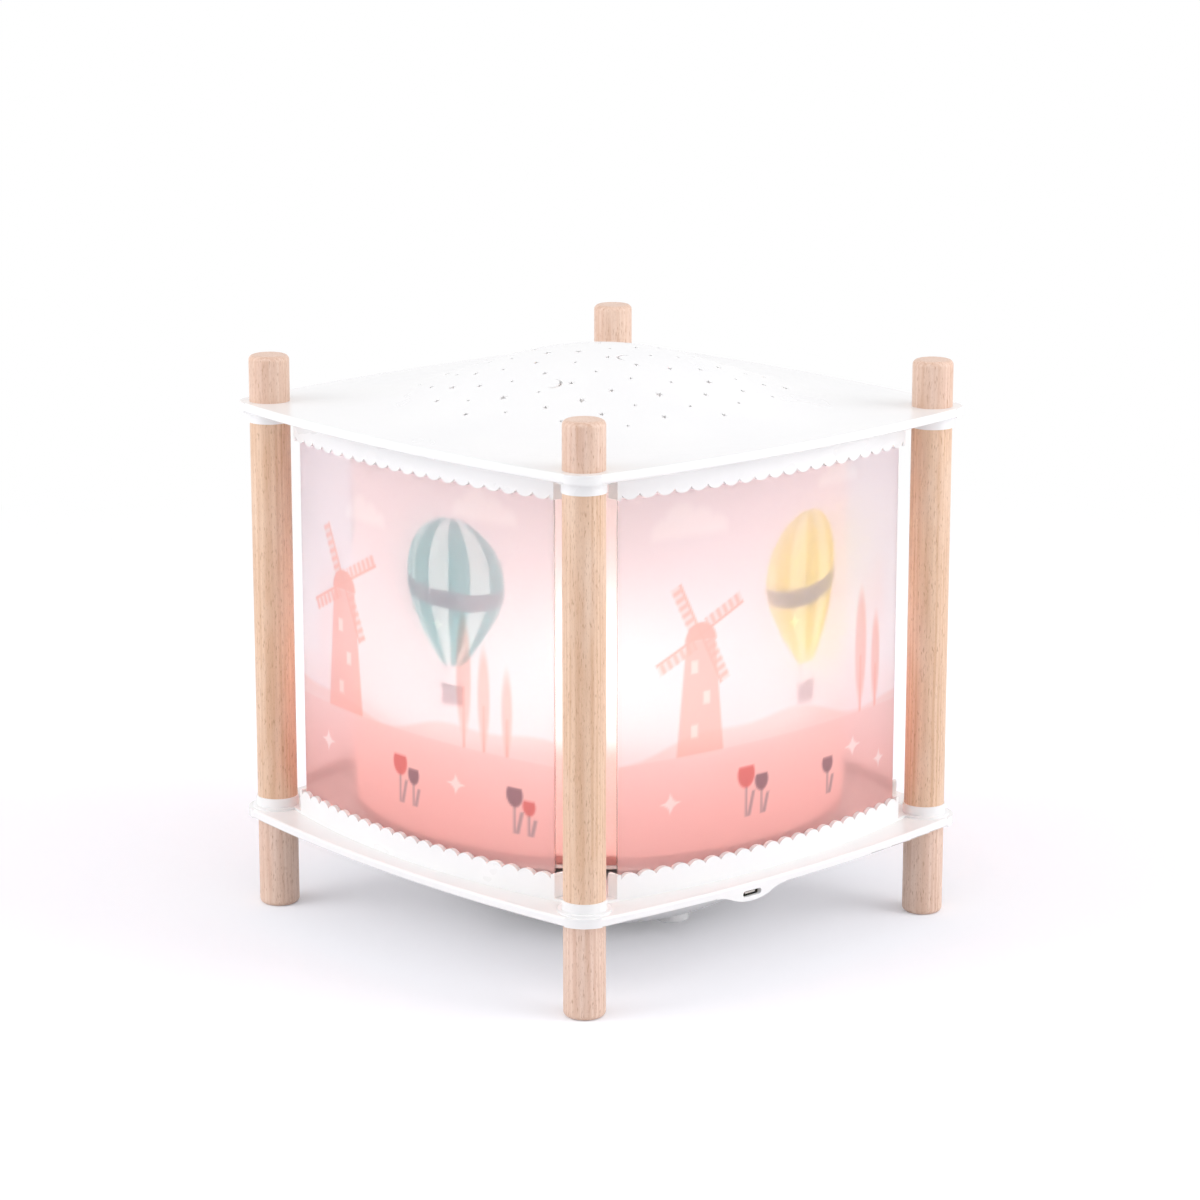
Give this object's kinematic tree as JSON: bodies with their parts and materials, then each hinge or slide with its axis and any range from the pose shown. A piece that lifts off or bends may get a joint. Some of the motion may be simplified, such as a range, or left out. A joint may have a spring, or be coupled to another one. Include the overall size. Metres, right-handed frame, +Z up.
{
  "type": "rotating motion lamp",
  "caption": "Table lamp with turned wooden corner posts, scalloped white plates, frosted panels, a pierced dome and a lit picture cylinder that turns round an inner globe.",
  "frame": {"origin": "centre of the footprint, on the floor under the four feet", "axes": "+Z up along the axis of the lamp column, +X towards the side with the power inlet"},
  "size_m": [0.196, 0.196, 0.2037],
  "materials": {
    "white_gloss": "glossy moulded",
    "white_frame": "glossy moulded",
    "beech": "turned and lacquered, satin",
    "frosted_panel": "frosted sheet plastic",
    "printed_film": "printed translucent film",
    "white_inner": "moulded, satin",
    "opal": "opal diffuser",
    "acetal": "moulded, satin",
    "steel": "zinc plated",
    "spring_steel": "blackened",
    "motor_can": "drawn and nickel plated",
    "circuit_board": "solder mask",
    "light_board": "white solder mask",
    "emitter": "phosphor under clear resin",
    "cell_sleeve": "shrink sleeve",
    "lead_sheath": "insulation",
    "switch_body": "moulded",
    "nickel_shell": "nickel plated"
  },
  "bodies": {
    "frame": {"base_plate": "white_gloss", "base_frame": "white_frame", "top_plate": "white_gloss", "top_frame": "white_frame", "foot_front_right": "beech", "foot_back_right": "beech", "foot_back_left": "beech", "foot_front_left": "beech", "post_front_right": "beech", "post_back_right": "beech", "post_back_left": "beech", "post_front_left": "beech", "cap_front_right": "beech", "cap_back_right": "beech", "cap_back_left": "beech", "cap_front_left": "beech", "base_studs": "steel", "top_studs": "steel", "panel_right": "frosted_panel", "panel_back": "frosted_panel", "panel_left": "frosted_panel", "panel_front": "frosted_panel", "thrust_washer": "acetal", "hub_clip": "spring_steel", "lamp_column": "white_inner", "column_screws": "steel", "light_board": "light_board", "light_emitter": "emitter", "light_globe": "opal", "light_leads": "lead_sheath", "gear_motor": "motor_can", "motor_screws": "steel", "motor_leads": "lead_sheath", "pod": "white_gloss", "pod_screws": "steel", "battery_cell": "cell_sleeve", "battery_leads": "lead_sheath", "main_board": "circuit_board", "board_screws": "steel", "button_switch": "switch_body", "inlet_socket": "nickel_shell", "inlet_board": "circuit_board", "inlet_leads": "lead_sheath"},
    "turntable": {"turntable": "white_inner", "drive_gear": "acetal", "picture_cylinder": "printed_film", "cylinder_hoop": "white_inner"},
    "pinion": {"motor_shaft": "steel", "motor_pinion": "acetal"},
    "button": {"push_button": "white_gloss"}
  },
  "joints": [
    {"name": "turntable_spin", "type": "hinge", "parent": "frame", "child": "turntable", "pos_m": [0, 0, 0.0391], "axis": [0, 0, 1], "continuous": true},
    {"name": "pinion_spin", "type": "hinge", "parent": "frame", "child": "pinion", "pos_m": [-0.04, 0, 0.0331], "axis": [0, 0, 1], "continuous": true},
    {"name": "button_press", "type": "slide", "parent": "frame", "child": "button", "axis": [0, 0, 1], "range_m": [0, 0.0012], "stiffness_N_per_m": 400, "springref_m": -0.001}
  ],
  "couplings": [
    {"joint": "pinion_spin", "follows": "turntable_spin", "ratio": -3}
  ]
}
